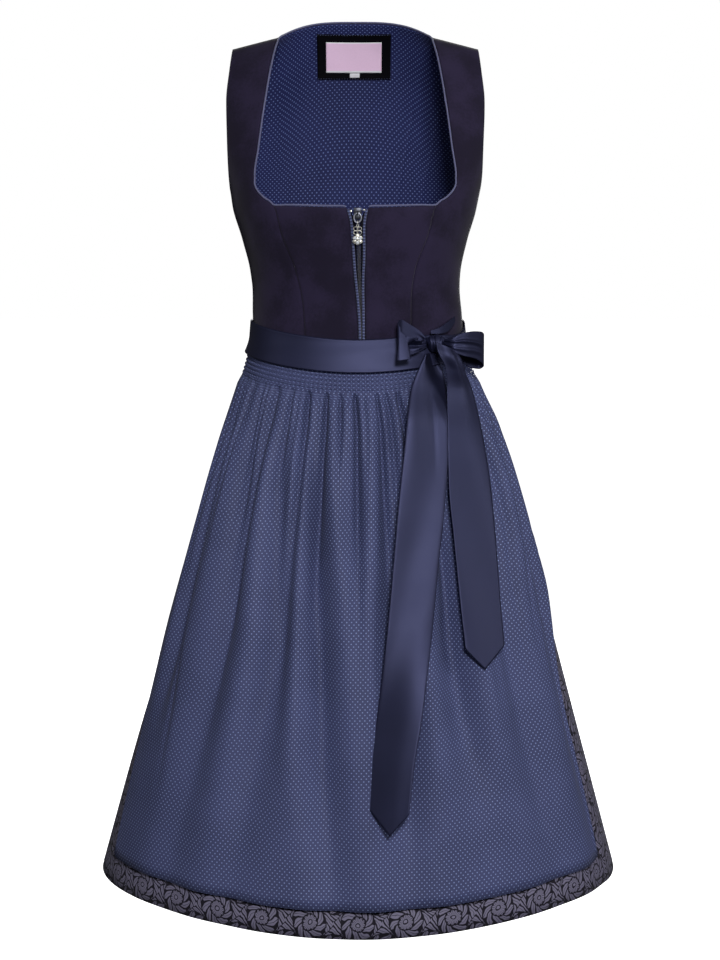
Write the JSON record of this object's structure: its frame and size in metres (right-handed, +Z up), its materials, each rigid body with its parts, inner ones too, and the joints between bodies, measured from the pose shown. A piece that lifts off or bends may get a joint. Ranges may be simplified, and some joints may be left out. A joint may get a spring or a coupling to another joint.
{
  "type": "dirndl",
  "caption": "Sleeveless dirndl with a square neckline, zip front, flared midi skirt, gathered apron and a satin sash tied in a bow at the side.",
  "frame": {"origin": "midway between the shoulders, level with the inner top of the shoulder straps", "axes": "+Z up from hem to shoulders, the wearer faces -Y, +X is the wearer's left"},
  "size_m": [0.6203, 0.4685, 1.0362],
  "materials": {
    "bodice_cloth": "matt suede-like velveteen",
    "lining_cloth": "matt cotton with small dots",
    "piping": "matt",
    "skirt_cloth": "jacquard, soft sheen",
    "apron_cloth": "cotton with pin dots",
    "satin": "satin",
    "zip_tape": "matt tape with a coil",
    "dark_metal": "dark nickel",
    "silver": "antique silver",
    "stone": "clear cut stone",
    "label_black": "matt woven",
    "label_pink": "woven satin",
    "label_white": "woven"
  },
  "bodies": {
    "dress": {"bodice_front_left": "bodice_cloth", "bodice_side_front_left": "bodice_cloth", "bodice_side_back_left": "bodice_cloth", "bodice_front_right": "bodice_cloth", "bodice_side_front_right": "bodice_cloth", "bodice_side_back_right": "bodice_cloth", "bodice_back": "bodice_cloth", "lining_back": "lining_cloth", "label_backing": "label_black", "label": "label_pink", "size_tab": "label_white", "neck_piping": "piping", "zip_piping_left": "piping", "zip_piping_right": "piping", "zip_tape_left": "zip_tape", "zip_tape_right": "zip_tape", "zip_chain": "zip_tape", "zip_slider": "dark_metal", "skirt_front": "skirt_cloth", "skirt_back": "skirt_cloth", "apron": "apron_cloth", "sash": "satin", "bow_knot": "satin", "bow_loop_left": "satin", "bow_loop_right": "satin", "sash_wrap": "satin", "bow_tail_long": "satin", "bow_tail_short": "satin"},
    "ring": {"pull_ring": "dark_metal"},
    "charm": {"charm": "silver", "charm_stone_1": "stone", "charm_stone_2": "stone", "charm_stone_3": "stone"}
  },
  "joints": [
    {"name": "ring_hinge", "type": "hinge", "parent": "dress", "child": "ring", "pos_m": [-0.00032, -0.11696, -0.2045], "axis": [-1, 0, 0], "range_deg": [0, 120]},
    {"name": "charm_hinge", "type": "hinge", "parent": "ring", "child": "charm", "pos_m": [-0.00032, -0.11696, -0.2153], "axis": [-1, 0, 0], "range_deg": [0, 70]}
  ]
}
